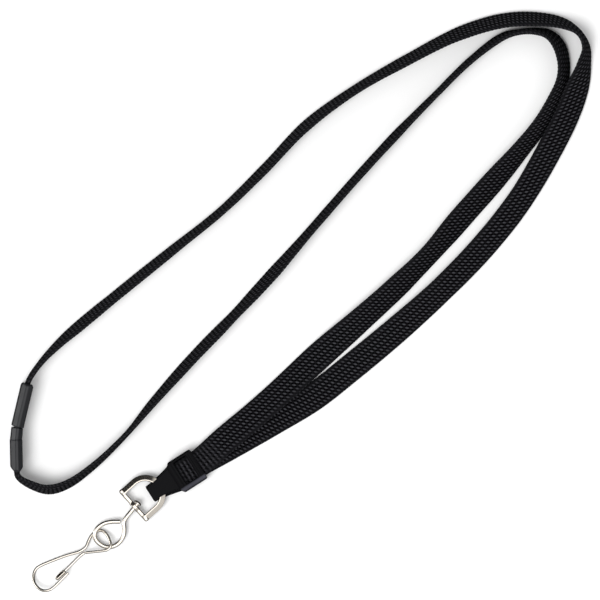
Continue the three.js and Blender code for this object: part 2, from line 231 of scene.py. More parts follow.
def strap(name, route, seed):
    """The braid as a closed tube whose crowns stand up in the mesh. Returns it, its centreline and length."""
    stations = np.array(route, float)
    leans = np.radians(stations[:, 2])
    lifts = stations[:, 3] + [half_height(lean) for lean in leans]
    stations = np.column_stack([stations[:, :2], lifts, leans])
    rows, run = evenly(smooth_curve(stations), STEP_RUN)
    centres = rows[:, :3] + CENTRE_SHIFT
    lean = rows[:, 3] + LEAN_WAVER * waver(run, seed, LEAN_PERIOD)
    along = unit(np.gradient(centres, axis=0))
    side = unit(np.cross((0, 0, 1), along))
    up = np.cross(along, side)
    across = side * np.cos(lean)[:, None] + up * np.sin(lean)[:, None]
    through = np.cross(along, across)
    outline, outward = slab_section()
    swell = 1 + SWELL_WAVER * waver(run, seed + 1, SWELL_PERIOD)
    crowns = np.arange(STEPS_ROUND) * CROWNS_ROUND / STEPS_ROUND
    runs = run / CROWN_RUN
    height = CROWN_RELIEF * (FOLD_RELIEF + (1 - FOLD_RELIEF) * np.abs(outward[:, 1]))
    relief = np.outer(np.cos(2 * math.pi * runs), height * np.cos(2 * math.pi * crowns))
    wide = outline[:, 0] + relief * outward[:, 0]
    thick = outline[:, 1] * swell[:, None] + relief * outward[:, 1]
    points = (
        centres[:, None, :]
        + across[:, None, :] * wide[:, :, None]
        + through[:, None, :] * thick[:, :, None]
    ).reshape(-1, 3)
    ring, spoke, faces = tube_faces(len(centres), STEPS_ROUND)
    girth_low, girth_high = crowns[spoke], crowns[spoke] + crowns[1]
    run_low, run_high = runs[ring], runs[ring + 1]
    u = np.stack([girth_low, girth_high, girth_high, girth_low], axis=-1)
    v = np.stack([run_low, run_low, run_high, run_high], axis=-1)
    uv = np.stack([u, v], axis=-1).reshape(-1, 2)
    cap_uv = np.zeros((2 * STEPS_ROUND, 2))
    piece = new_piece(name, points, faces, np.vstack([uv, cap_uv]))
    return piece, centres, run[-1]


# ---- materials -------------------------------------------------------------------------------------
class Shader:
    """A node material: one Principled shader, with short ways to add what drives it."""

    def __init__(self, name, colour, roughness, metallic=0.0, specular=0.5):
        self.material = bpy.data.materials.new(name)
        self.material.use_nodes = True
        self.tree = self.material.node_tree
        self.shader = self.tree.nodes["Principled BSDF"]
        self.shader.inputs["Base Color"].default_value = (*colour, 1.0)
        self.shader.inputs["Roughness"].default_value = roughness
        self.shader.inputs["Metallic"].default_value = metallic
        self.shader.inputs["Specular IOR Level"].default_value = specular

    def node(self, kind, **settings):
        made = self.tree.nodes.new(kind)
        for key, value in settings.items():
            setattr(made, key, value)
        return made

    def feed(self, socket, value):
        if isinstance(value, bpy.types.NodeSocket):
            self.tree.links.new(value, socket)
        else:
            socket.default_value = value

    def math(self, operation, *values, clamp=False):
        made = self.node("ShaderNodeMath", operation=operation, use_clamp=clamp)
        for socket, value in zip(made.inputs, values):
            self.feed(socket, value)
        return made.outputs[0]

    def square(self, value, unit_size):
        """The square of the value, counted in units of the size given."""
        return self.math("POWER", self.math("DIVIDE", value, unit_size), 2.0)

    def off_whole(self, value, shift=0.0):
        """How far the shifted value is past the nearest whole number, from -0.5 to 0.5."""
        return self.math("SUBTRACT", self.math("FRACT", self.math("ADD", value, 0.5 + shift)), 0.5)

    def mix_colour(self, share, first, second):
        made = self.node("ShaderNodeMix", data_type="RGBA")
        self.feed(made.inputs["Factor"], share)
        first_socket, second_socket = made.inputs[6], made.inputs[7]  # the two that are colours
        for socket, colour in ((first_socket, first), (second_socket, second)):
            self.feed(socket, (*colour, 1.0) if isinstance(colour, tuple) else colour)
        return made.outputs[2]

    def noise(self, scale, detail=2.0):
        made = self.node("ShaderNodeTexNoise")
        self.feed(made.inputs["Vector"], self.node("ShaderNodeTexCoord").outputs["Object"])
        made.inputs["Scale"].default_value = scale
        made.inputs["Detail"].default_value = detail
        return made.outputs["Fac"]

    def spread(self, value, seen, given):
        """The value carried from the range seen to the range given, and held inside it."""
        made = self.node("ShaderNodeMapRange")
        for socket, number in zip(made.inputs, (value, *seen, *given)):
            self.feed(socket, number)
        return made.outputs[0]

    def bump(self, height, distance, strength=1.0):
        """A normal that follows the height, which stands the distance high in millimetres at 1."""
        made = self.node("ShaderNodeBump")
        made.inputs["Distance"].default_value = distance * MM
        made.inputs["Strength"].default_value = strength
        self.feed(made.inputs["Height"], height)
        return made.outputs["Normal"]

    def band(self, place, point, direction, half):
        """1 on the plane through a point of an assembly, square to the direction, and 0 at half away."""
        spin = place_matrix(place)
        axis = (spin.to_3x3() @ Vector(direction)).normalized()
        height = self.node("ShaderNodeVectorMath", operation="DOT_PRODUCT")
        self.feed(height.inputs[0], self.node("ShaderNodeTexCoord").outputs["Object"])
        height.inputs[1].default_value = axis
        off = self.math("SUBTRACT", height.outputs["Value"], axis.dot(spin @ Vector(point)) * MM)
        return self.math("SUBTRACT", 1.0, self.square(off, half * MM), clamp=True)

    def finish(self, colour, roughness, normal):
        for key, value in (("Base Color", colour), ("Roughness", roughness), ("Normal", normal)):
            self.feed(self.shader.inputs[key], value)
        return self.material


def toned(colour, share):
    return tuple(share * part for part in colour)


EVEN_NOISE = (0.3, 0.7)  # where most of a noise's values lie
YARN_SLANT = math.radians(35)  # between a yarn's crown and the strap's width
YARN_HALF_WIDTH = 0.36
YARN_HALF_LENGTH = 0.84
FILAMENT_PITCH = 0.1
FRAY_SCALE = 2200.0
DIM_FAMILY = 0.14  # how much painted highlight the yarns that slant the other way get beside the lit ones
DIM_HEIGHT, FILAMENT_HEIGHT, FRAY_HEIGHT = 0.6, 0.06, 0.2  # beside a lit crown's height of 1
YARN_HEIGHT = 0.25
CROWDED_RUNS = (9.0, 12.5)  # in crowns from the clamp: the pull of the clamp lays the yarns crosswise
CROWDED_LOSS = 0.6  # how much of the slanting crowns is lost there
RIB_HALF = 0.3  # half a crosswise rib's width, in crowns
FRAYED_RIB, WHOLE_RIB = 0.12, 0.6  # how bright the ribs are beside the lit crowns
NOTCH_LEVEL = 0.15  # what is left of a rib between two yarns
FOLD_FACING = (0.25, 0.7)  # from the folded edge to the flat face, as the sine of the place round the tube
FOLD_SHADE = 0.14  # even painted tone that the crowns' painted highlight fades into at the two folded edges
BRAID_COLOUR, BRAID_ROUGHNESS = (0.004, 0.004, 0.0048), 0.6  # what the shader holds under its links, where the links are not followed
# Painted highlight and shade on the braid: the crowns are coloured light as their highlights, and the valleys
# near black as the shade between them.
CROWN_HIGHLIGHT_COLOUR = (0.058, 0.058, 0.065)
VALLEY_SHADE_COLOUR = (0.0003, 0.0003, 0.0005)
CROWN_ROUGHNESS, VALLEY_ROUGHNESS = 0.45, 0.75


def braid_material():
    """Black polyester: two families of slanting yarns, each a bundle of fine filaments, with painted
    highlights on the crowns and painted shade in the valleys.
    """
    s = Shader("black_braid", BRAID_COLOUR, BRAID_ROUGHNESS, specular=0.015)
    split = s.node("ShaderNodeSeparateXYZ")
    s.feed(split.inputs[0], s.node("ShaderNodeUVMap", uv_map="girth_and_run").outputs["UV"])
    girth, run = split.outputs[0], split.outputs[1]
    fray = s.noise(FRAY_SCALE)

    def family(shift, slant):
        """One family's crowns, 1 on top and 0 at the foot, and the distance beside a yarn's middle."""
        x = s.math("MULTIPLY", s.off_whole(girth, shift), CROWN_WIDTH)
        y = s.math("MULTIPLY", s.off_whole(run, shift), CROWN_RUN)
        across, along = math.cos(YARN_SLANT), slant * math.sin(YARN_SLANT)
        lengthwise = s.math("ADD", s.math("MULTIPLY", x, across), s.math("MULTIPLY", y, along))
        beside = s.math("SUBTRACT", s.math("MULTIPLY", y, across), s.math("MULTIPLY", x, along))
        narrow, long = s.square(beside, YARN_HALF_WIDTH), s.square(lengthwise, YARN_HALF_LENGTH)
        return s.math("SUBTRACT", s.math("SUBTRACT", 1.0, narrow), long, clamp=True), beside

    def crosswise_ribs():
        """Ribs straight across the strap, notched between the yarns."""
        rib = s.math("SUBTRACT", 1.0, s.square(s.off_whole(run), RIB_HALF), clamp=True)
        turns = s.math("MULTIPLY", s.math("ADD", girth, 0.25), math.pi)
        off_notch = s.math("ABSOLUTE", s.math("SINE", turns))
        rib = s.math("MULTIPLY", rib, s.spread(off_notch, (0.2, 0.6), (NOTCH_LEVEL, 1.0)))
        return s.math("MULTIPLY", rib, s.spread(fray, (0.35, 0.6), (FRAYED_RIB, WHOLE_RIB)))

    crown, beside = family(0.0, 1.0)
    dim_crown, _ = family(0.5, -1.0)
    crowded = s.spread(run, CROWDED_RUNS, (1.0, 0.0))
    crown = s.math("MULTIPLY", crown, s.math("SUBTRACT", 1.0, s.math("MULTIPLY", crowded, CROWDED_LOSS)))
    crown = s.math("MAXIMUM", crown, s.math("MULTIPLY", crosswise_ribs(), crowded))
    face = s.math("ABSOLUTE", s.math("SINE", s.math("MULTIPLY", girth, 2 * math.pi / CROWNS_ROUND)))

    filaments = s.math("SINE", s.math("MULTIPLY", beside, 2 * math.pi / FILAMENT_PITCH))
    height = s.math("SQRT", s.math("MAXIMUM", crown, s.math("MULTIPLY", dim_crown, DIM_HEIGHT)))
    height = s.math("ADD", height, s.math("MULTIPLY", filaments, FILAMENT_HEIGHT))
    height = s.math("ADD", height, s.math("MULTIPLY", fray, FRAY_HEIGHT))
    height = s.math("MULTIPLY", height, s.spread(face, FOLD_FACING, (0.4, 1.0)))

    # Painted highlight: the lit family of crowns gets most of it, the other family a little, and the valleys
    # are left dark as painted shade.
    shade = s.math("MAXIMUM", s.math("POWER", crown, 0.7), s.math("MULTIPLY", dim_crown, DIM_FAMILY))
    shade = s.math("MULTIPLY", shade, s.spread(fray, EVEN_NOISE, (0.75, 1.15)))
    facing = s.spread(face, FOLD_FACING, (0.35, 1.0))
    plain = s.math("MULTIPLY", s.math("SUBTRACT", 1.0, facing), FOLD_SHADE)
    shade = s.math("ADD", s.math("MULTIPLY", shade, facing), plain)
    colour = s.mix_colour(shade, VALLEY_SHADE_COLOUR, CROWN_HIGHLIGHT_COLOUR)
    rough = s.spread(crown, (0.0, 1.0), (VALLEY_ROUGHNESS, CROWN_ROUGHNESS))
    return s.finish(colour, rough, s.bump(height, YARN_HEIGHT))


# A painted highlight: a light grey band along the clamp's rounded edge away from the loop, where a lamp's
# sheen would fall.
SHEEN_HIGHLIGHT_COLOUR = (0.058, 0.058, 0.072)
SHEEN_EDGE = (0.0, -4.8, 6.4)  # a point on the lid's edge away from the loop, in the clamp's own frame
SHEEN_REACH, SHEEN_DROP = 0.9, 1.7  # how far from the edge the painted highlight fades out, across and down


def plastic_material(name, colour, roughness, specular, painted_sheen=False):
    """Satin moulded plastic with a fine grain. With the painted sheen on, the clamp's edge away from the loop
    gets a lighter grey band as a painted highlight.
    """
    s = Shader(name, colour, roughness, specular=specular)
    grain = s.noise(3500.0)
    patches = s.noise(260.0)
    tone = s.mix_colour(patches, toned(colour, 0.8), toned(colour, 1.25))
    if painted_sheen:
        # Painted highlight along the clamp's rounded edge.
        beside = s.band(CLAMP_PLACE, SHEEN_EDGE, (0.0, 1.0, 0.0), SHEEN_REACH)
        below = s.band(CLAMP_PLACE, SHEEN_EDGE, (0.0, 0.0, 1.0), SHEEN_DROP)
        uneven = s.spread(patches, (0.25, 0.75), (0.6, 1.0))
        edge = s.math("MULTIPLY", s.math("MULTIPLY", beside, below), uneven)
        tone = s.mix_colour(edge, tone, SHEEN_HIGHLIGHT_COLOUR)
    shine = s.spread(patches, EVEN_NOISE, (roughness - 0.06, roughness + 0.08))
    return s.finish(tone, shine, s.bump(grain, 0.03, strength=0.35))


CREASE = (10.4, 2.45, 0.0)  # middle of the gate's flattened tip, in the hook's own frame
GATE_TURN = math.radians(9.5)
CREASE_RUN = (math.cos(GATE_TURN), math.sin(GATE_TURN), 0.0)
CREASE_SIDE = (-math.sin(GATE_TURN), math.cos(GATE_TURN), 0.0)
# Painted shade: the crease in the gate's flattened tip is coloured dark brown as the shade in it.
CREASE_SHADE_HALF_WIDTH, CREASE_SHADE_HALF_LENGTH = 0.42, 1.75
CREASE_SHADE_COLOUR = (0.025, 0.014, 0.006)


def nickel_material(name, colour, roughness, shaded_crease=False):
    """Bright nickel plating, warm and unevenly polished. With the crease shaded, the gate's tip is painted
    dark brown in its crease as painted shade.
    """
    s = Shader(name, colour, roughness, metallic=1.0)
    patches = s.noise(420.0, detail=3.0)
    tone = s.mix_colour(patches, toned(colour, 0.93), colour)
    if shaded_crease:
        # Painted shade in the crease of the gate's tip.
        beside = s.band(HOOK_PLACE, CREASE, CREASE_SIDE, CREASE_SHADE_HALF_WIDTH)
        along = s.band(HOOK_PLACE, CREASE, CREASE_RUN, CREASE_SHADE_HALF_LENGTH)
        crease_shade = s.spread(s.math("MULTIPLY", beside, along), (0.1, 0.4), (0.0, 1.0))
        tone = s.mix_colour(crease_shade, tone, CREASE_SHADE_COLOUR)
    shine = s.spread(patches, EVEN_NOISE, (roughness - 0.04, roughness + 0.06))
    ripple = s.noise(900.0)
    return s.finish(tone, shine, s.bump(ripple, 0.02, strength=0.25))


def dress(piece, material, body=None):
    piece.data.materials.append(material)
    if body:
        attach(piece, body)


BRAID = braid_material()
CLAMP_PLASTIC = plastic_material("clamp_plastic", (0.003, 0.003, 0.0036), 0.34, 0.05, painted_sheen=True)
CONNECTOR_PLASTIC = plastic_material("connector_plastic", (0.009, 0.0095, 0.0115), 0.34, 0.42)
WIRE_COLOUR, WIRE_ROUGHNESS = (0.95, 0.89, 0.80), 0.22
RING_NICKEL = nickel_material("ring_nickel", (0.80, 0.74, 0.66), 0.14)
WIRE_NICKEL = nickel_material("wire_nickel", WIRE_COLOUR, WIRE_ROUGHNESS)
GATE_NICKEL = nickel_material("gate_nickel", WIRE_COLOUR, WIRE_ROUGHNESS, shaded_crease=True)


outer, outer_line, outer_length = strap("braid_outer", OUTER_ROUTE, 3)
inner, inner_line, inner_length = strap("braid_inner", INNER_ROUTE, 11)
for piece, node, line, length in (
    (outer, "strap_outer", outer_line, outer_length),
    (inner, "strap_inner", inner_line, inner_length),
):
    dress(piece, BRAID)
    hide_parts(node)
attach(outer, "root")
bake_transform(inner)

# ---- hardware, as distance fields in each assembly's own millimetres ---------------------------------
# A field is below 0 inside its shape. The radius of hull_of, joined or without rounds the edge it makes.
def grid(low, high, step):
    """Coordinates of a regular lattice that fills the box from low to high."""
    return np.meshgrid(*(np.arange(a, b + step, step) for a, b in zip(low, high)), indexing="ij")


def hull_of(a, b, radius):
    """What is inside both fields, with the edge where they meet rounded."""
    outside = np.hypot(np.maximum(a + radius, 0), np.maximum(b + radius, 0))
    return np.minimum(-radius, np.maximum(a, b)) + outside


def joined(a, b, radius):
    """What is inside either field, with a fillet where they meet."""
    inside = np.hypot(np.maximum(radius - a, 0), np.maximum(radius - b, 0))
    return np.maximum(radius, np.minimum(a, b)) - inside


def without(a, b, radius):
    """What is inside the first field and outside the second."""
    return hull_of(a, -b, radius)


def mirrored(half):
    """A closed outline from the half of it that lies above the first axis."""
    return half + [(x, -y) for x, y in reversed(half)]


def polygon(x, y, corners):
    """Signed distance from the points x, y to a closed outline."""
    corners = np.asarray(corners, float)
    nearest = np.full(x.shape, np.inf)
    sign = np.ones(x.shape)
    for start, end in zip(corners, np.roll(corners, 1, axis=0)):
        run = end - start
        dx, dy = x - start[0], y - start[1]
        share = np.clip((dx * run[0] + dy * run[1]) / (run @ run), 0, 1)
        nearest = np.minimum(nearest, (dx - run[0] * share) ** 2 + (dy - run[1] * share) ** 2)
        above, below = y >= start[1], y < end[1]
        turn = run[0] * dy > run[1] * dx
        crossing = (above & below & turn) | ~(above | below | turn)
        sign = np.where(crossing, -sign, sign)
    return sign * np.sqrt(nearest)


def layer(value, low, high):
    """Signed distance to the space between two parallel planes."""
    return np.abs(value - (low + high) / 2) - (high - low) / 2


def box_field(x, y, z, low, high, radius):
    """Signed distance to the box from low to high, with its edges rounded."""
    middle, half = (np.add(low, high)) / 2, (np.subtract(high, low)) / 2 - radius
    over = [np.abs(c - m) - h for c, m, h in zip((x, y, z), middle, half)]
    outside = np.sqrt(sum(np.maximum(o, 0) ** 2 for o in over))
    return outside + np.minimum(np.maximum.reduce(over), 0) - radius


def turned(x, y, angle):
    """The points' coordinates in a frame that is turned by the angle."""
    return x * math.cos(angle) + y * math.sin(angle), y * math.cos(angle) - x * math.sin(angle)


def placed_piece(name, points, faces, place):
    spin = np.array(place_matrix(place))
    return new_piece(name, np.asarray(points) @ spin[:3, :3].T + spin[:3, 3], faces)


def surface(name, field, low, step, place):
    """The zero surface of a field on its lattice as quads, one vertex in each cell that it crosses."""
    inside = field < 0
    shape = np.array(field.shape)
    corners = [np.array(c) for c in np.ndindex(2, 2, 2)]
    seen = np.zeros(shape - 1, int)
    for c in corners:
        seen += inside[c[0] : shape[0] - 1 + c[0], c[1] : shape[1] - 1 + c[1], c[2] : shape[2] - 1 + c[2]]
    cells = np.argwhere((seen > 0) & (seen < 8))
    number = np.full(shape - 1, -1)
    number[tuple(cells.T)] = np.arange(len(cells))
    total, count = np.zeros((len(cells), 3)), np.zeros(len(cells))
    axes = np.eye(3, dtype=int)
    for start in corners:
        for axis in range(3):
            if start[axis]:
                continue
            end = start + axes[axis]
            here, there = field[tuple((cells + start).T)], field[tuple((cells + end).T)]
            crossed = (here < 0) != (there < 0)
            share = here[crossed] / (here[crossed] - there[crossed])
            total[crossed] += start + share[:, None] * (end - start)
            count[crossed] += 1
    points = np.asarray(low) + step * (cells + total / count[:, None])
    faces = []
    for axis in range(3):
        right, left = axes[(axis + 1) % 3], axes[(axis + 2) % 3]
        first = np.take(inside, range(shape[axis] - 1), axis)
        second = np.take(inside, range(1, shape[axis]), axis)
        edges = np.argwhere(first != second)
        leaving = first[tuple(edges.T)]
        ring = [number[tuple((edges - shift).T)] for shift in (0 * right, right, right + left, left)]
        quads = np.stack(ring, axis=-1)
        faces.append(np.where(leaving[:, None], quads, quads[:, ::-1]))
    return placed_piece(name, points, np.vstack(faces).tolist(), place)


# ---- clamp: x = 0 is the mouth that the straps enter, and the nose points along -x ----------------------
CLAMP_STEP = 0.13
CLAMP_HALF = 5.9  # half the body's width
CLAMP_LENGTH = 9.6
MOUTH_CHAMFER = 0.5
SHOULDER = 4.8  # half the width that is left at the body's back end
SEAM_LOW, SEAM_HIGH = 5.5, 5.6  # the fine gap between the shell and the lid
LID_TOP = 6.7
POCKET = (-8.75, -5.05, 1.0), (3.0, 5.05, 9.0)  # room for the straps, as its lowest and highest corners
DISH = (-9.2, -4.0, 6.45), (-0.5, 4.9, 9.0)  # the lid's sunk middle
WINDOW = (-6.95, -3.6, 4.0), (-2.3, 4.75, 9.0)
RIDGE_RUNS = (-2.15, -1.3), (-8.1, -7.1)  # where the two ridges across the lid start and end
RIDGE_SIDES, RIDGE_FOOT = (-5.2, 5.5), 5.7
NOSE_END = -19.4
LOWER_LEAF, UPPER_LEAF = (0.35, 1.15), (SEAM_LOW + 0.02, 6.4)  # bottom and top of the nose's two leaves
LEAF_SPREAD = 0.4  # how much wider the lower leaf is on each side
FOLD_TOP = 5.2
FOLD_THICKNESS = 0.8

# Half the nose's outline from its root to its tip, on the plain side and on the hollowed one.
WIDE_SIDE = [
    (-8.6, 4.7), (-10.0, 4.35), (-12.0, 3.85), (-14.0, 3.4), (-16.5, 2.95), (-18.6, 2.7), (NOSE_END, 2.65),
]
HOLLOW_SIDE = [
    (-8.6, 4.7), (-9.7, 4.0), (-11.3, 3.3), (-13.5, 2.85), (-16.0, 2.6), (-18.6, 2.55), (NOSE_END, 2.6),
]


def nose_plan(x, y, side, spread=0.0):
    """The nose seen from above: it draws in to a blunt tip, and the side given faces -y."""
    left = [(px, py + spread) for px, py in WIDE_SIDE]
    return polygon(x, y, left + [(px, -py - spread) for px, py in reversed(side)])


def clamp_hull(x, y, z):
    """The clamp's body before it is hollowed: the side that faces away from the loop is rounder."""
    mouth = CLAMP_HALF - MOUTH_CHAMFER
    plan = polygon(x, y, [
        (0, mouth), (-MOUTH_CHAMFER, CLAMP_HALF), (-8.6, CLAMP_HALF), (-CLAMP_LENGTH, SHOULDER),
        (-CLAMP_LENGTH, -SHOULDER), (-8.8, -CLAMP_HALF), (-MOUTH_CHAMFER, -CLAMP_HALF), (0, -mouth),
    ])
    well_above, well_beside = LID_TOP + 3, 9
    section = polygon(y, z, [
        (-CLAMP_HALF, 0.6), (-CLAMP_HALF, well_above), (well_beside, well_above), (well_beside, 0), (-5.3, 0),
    ])
    section = hull_of(section, z - LID_TOP, radius=2.1)
    section = hull_of(section, y - CLAMP_HALF, radius=0.9)
    return hull_of(plan, section, radius=0.25)


def clamp_shell():
    low, high = (-20.0, -7.0, -0.5), (0.6, 7.0, 5.9)
    x, y, z = grid(low, high, CLAMP_STEP)
    body = without(clamp_hull(x, y, z), box_field(x, y, z, *POCKET, radius=0.3), radius=0.15)
    body = hull_of(body, z - SEAM_LOW, radius=0.08)
    leaf = hull_of(nose_plan(x, y, WIDE_SIDE, LEAF_SPREAD), layer(z, *LOWER_LEAF), radius=0.3)
    fold = hull_of(nose_plan(x, y, WIDE_SIDE), layer(z, LOWER_LEAF[0], FOLD_TOP), radius=0.35)
    fold = hull_of(fold, layer(x, NOSE_END - 0.05, NOSE_END + FOLD_THICKNESS), radius=0.2)
    shell = joined(joined(body, leaf, radius=0.3), fold, radius=0.12)
    return surface("clamp_shell", shell, low, CLAMP_STEP, CLAMP_PLACE)


def clamp_lid():
    low, high = (-20.0, -7.0, 5.2), (0.6, 7.0, 7.3)
    x, y, z = grid(low, high, CLAMP_STEP)
    lid = hull_of(clamp_hull(x, y, z), SEAM_HIGH - z, radius=0.08)
    lid = without(lid, box_field(x, y, z, *DISH, radius=0.2), radius=0.12)
    front, back = (
        box_field(x, y, z, (start, RIDGE_SIDES[0], RIDGE_FOOT), (end, RIDGE_SIDES[1], LID_TOP), radius=0.3)
        for start, end in RIDGE_RUNS
    )
    lid = joined(lid, joined(front, back, radius=0.1), radius=0.15)
    lid = without(lid, box_field(x, y, z, *WINDOW, radius=0.35), radius=0.15)
    leaf = hull_of(nose_plan(x, y, HOLLOW_SIDE), layer(z, *UPPER_LEAF), radius=0.3)
    return surface("clamp_lid", joined(lid, leaf, radius=0.35), low, CLAMP_STEP, CLAMP_PLACE)


# ---- D-ring: its origin is the middle of the bend in the clamp's nose, and the base bar lies at -x ------
RING_STEP = 0.1
RING_HALF_WIDTH = 5.8
RING_ARM = 5.2
# Half the bow's section, as places outward of its middle line and above it: bevelled towards the outside.
BOW_SECTION = [(-1.0, 0.85), (-0.75, 1.0), (-0.5, 1.0), (1.05, 0.17)]
BAR_HALF = (0.7, 6.9, 0.9)
BOSS_PLACE = -0.5  # along the bar
BOSS_RADIUS, BOSS_HALF_LENGTH = 1.8, 0.66
HOLE_RADIUS = 1.0


def ring_casting():
    low, high = (-12.6, -7.6, -2.1), (1.7, 7.6, 2.1)
    x, y, z = grid(low, high, RING_STEP)
    base = -RING_HALF_WIDTH - RING_ARM
    bend = np.hypot(x + RING_HALF_WIDTH, y) - RING_HALF_WIDTH
    outward = np.where(x > -RING_HALF_WIDTH, bend, np.abs(y) - RING_HALF_WIDTH)
    swollen = polygon(outward, z, mirrored(BOW_SECTION)) - 0.02
    bow = hull_of(swollen, base - 0.3 - x, radius=0.3)
    bar_middle = np.array([base, 0, 0])
    bar = box_field(x, y, z, bar_middle - BAR_HALF, bar_middle + BAR_HALF, radius=0.5)
    from_hole = np.hypot(y - BOSS_PLACE, z)
    boss_ends = layer(x, base - BOSS_HALF_LENGTH, base + BOSS_HALF_LENGTH)
    boss = hull_of(from_hole - BOSS_RADIUS, boss_ends, radius=0.3)
    ring = joined(joined(bow, bar, radius=0.35), boss, radius=0.4)
    ring = without(ring, from_hole - HOLE_RADIUS, radius=0.15)
    return surface("ring_casting", ring, low, RING_STEP, RING_PLACE)


# ---- wires ---------------------------------------------------------------------------------------------
WIRE_SIDES = 28
WIRE_STEP = 0.16
EYE_RADIUS = 0.7
HOOK_RADIUS = 0.47
DOME_SHARE = 0.55  # length of a cut end's dome, in wire radii
STEPS_BETWEEN = 16  # curve points from one point of a route to the next

EYE_ROUTE = [
    (-1.6, 0), (2, 0), (5.3, 0), (6.5, 0.35), (8.4, 2.0), (10.2, 3.05), (12.4, 3.35), (14.2, 3.0),
    (15.7, 2.1), (16.8, 0.7), (17.3, -1.3), (17.1, -3.3), (16.2, -4.7), (14.8, -5.4), (12.9, -5.4),
    (10.8, -4.6), (8.9, -3.0), (7.4, -1.15), (6.95, -0.62),
]
HOOK_ROUTE = [
    (7.8, 3.45), (8.7, 3.6), (10.7, 4.0), (12.7, 4.4), (14.3, 4.7), (16.0, 4.75), (17.6, 4.05), (18.7, 2.75),
    (19.2, 0.9), (19.1, -0.9), (18.3, -2.8), (17.1, -4.1), (15.6, -4.75), (13.8, -4.6), (11.6, -4.1),
    (8.4, -3.25), (5.3, -2.35), (2.9, -1.45), (0.6, -0.65), (-2.0, -0.7), (-3.8, -1.95), (-5.6, -2.95),
    (-7.8, -3.25), (-9.5, -2.4), (-10.2, -0.4), (-10.0, 2.1), (-9.1, 4.3), (-7.7, 4.8), (-6.2, 4.2),
    (-3.3, 2.5), (-0.8, 0.95),
]
GATE_ROUTE = [(-0.3, 0.75), (1.0, 0.75), (3.1, 1.1), (5.8, 1.65), (8.2, 2.1), (12.1, 2.75)]
# The rivet's domed head inside the D-ring: place along the shank, then radius.
RIVET = [
    (-2.12, 0.3), (-2.1, 0.6), (-2.03, 0.88), (-1.9, 1.1), (-1.74, 1.26), (-1.58, 1.34), (-1.42, 1.35),
    (-1.32, 1.32), (-1.27, 1.2), (-1.25, 0.7),
]


def tube(rows, radii):
    """A round tube along a line of rows in the XY plane, with a radius for each. Returns points and faces."""
    along = unit(np.gradient(rows, axis=0))
    side = np.cross((0, 0, 1), along)
    angle = np.arange(WIRE_SIDES) * 2 * math.pi / WIRE_SIDES
    rim = side[:, None, :] * np.cos(angle)[:, None] + np.array([0, 0, 1]) * np.sin(angle)[:, None]
    points = (rows[:, None, :] + rim * radii[:, None, None]).reshape(-1, 3)
    _, _, faces = tube_faces(len(rows), WIRE_SIDES)
    return points, faces


def wire_line(route, step):
    """Evenly spaced rows along the curve through a flat route, and their places along it."""
    return evenly(smooth_curve([(x, y, 0.0) for x, y in route], STEPS_BETWEEN), step)


def bent_wire(route, radius):
    """A wire through the route's points, cut off with slightly domed ends."""
    rows, run = wire_line(route, WIRE_STEP)
    reach = np.clip(np.minimum(run, run[-1] - run) / (DOME_SHARE * radius), 0, 1)
    return tube(rows, radius * np.sqrt(1 - 0.9 * (1 - reach) ** 2))


def eye_wire():
    shank, shank_faces = bent_wire(EYE_ROUTE, EYE_RADIUS)
    places, radii = np.array(RIVET).T
    head, head_faces = tube(np.outer(places, (1.0, 0.0, 0.0)), radii)
    head_faces = [[vertex + len(shank) for vertex in face] for face in head_faces]
    return placed_piece("eye_wire", np.vstack([shank, head]), shank_faces + head_faces, EYE_PLACE)


def hook_bent_wire():
    return placed_piece("hook_bent_wire", *bent_wire(HOOK_ROUTE, HOOK_RADIUS), HOOK_PLACE)


GATE_STEP = 0.07
GATE_RADIUS = 0.48
PADDLE_HALF = np.array([1.9, 0.62, 0.65])  # half the flattened tip's length, width and thickness
CREASE_SLOPE, CREASE_COSINE = 0.6, 0.86  # of the crease's two sides
CREASE_FOOT = 0.1  # from the middle of the tip's thickness to the foot of the crease
CREASE_ENDS = (-1.5, 1.6)


def gate_wire():
    """The wire's sprung free end, flattened at its tip and creased down the middle."""
    low, high = (-1.0, 0.0, -1.0), (13.0, 3.8, 1.0)
    x, y, z = grid(low, high, GATE_STEP)
    rows, _ = wire_line(GATE_ROUTE, 0.5)
    wire = np.full(x.shape, np.inf)
    for start, end in zip(rows[:-1, :2], rows[1:, :2]):
        run = end - start
        share = np.clip(((x - start[0]) * run[0] + (y - start[1]) * run[1]) / (run @ run), 0, 1)
        off = np.hypot(x - start[0] - share * run[0], y - start[1] - share * run[1])
        wire = np.minimum(wire, np.hypot(off, z))
    along, beside = turned(x - CREASE[0], y - CREASE[1], GATE_TURN)
    paddle = box_field(along, beside, z, -PADDLE_HALF, PADDLE_HALF, radius=0.3)
    sides = CREASE_COSINE * (np.abs(beside) - CREASE_SLOPE * (np.abs(z) - CREASE_FOOT))
    crease = np.maximum(sides, layer(along, *CREASE_ENDS))
    gate = without(joined(wire - GATE_RADIUS, paddle, radius=0.25), crease, radius=0.05)
    return surface("gate_wire", gate, low, GATE_STEP, HOOK_PLACE)


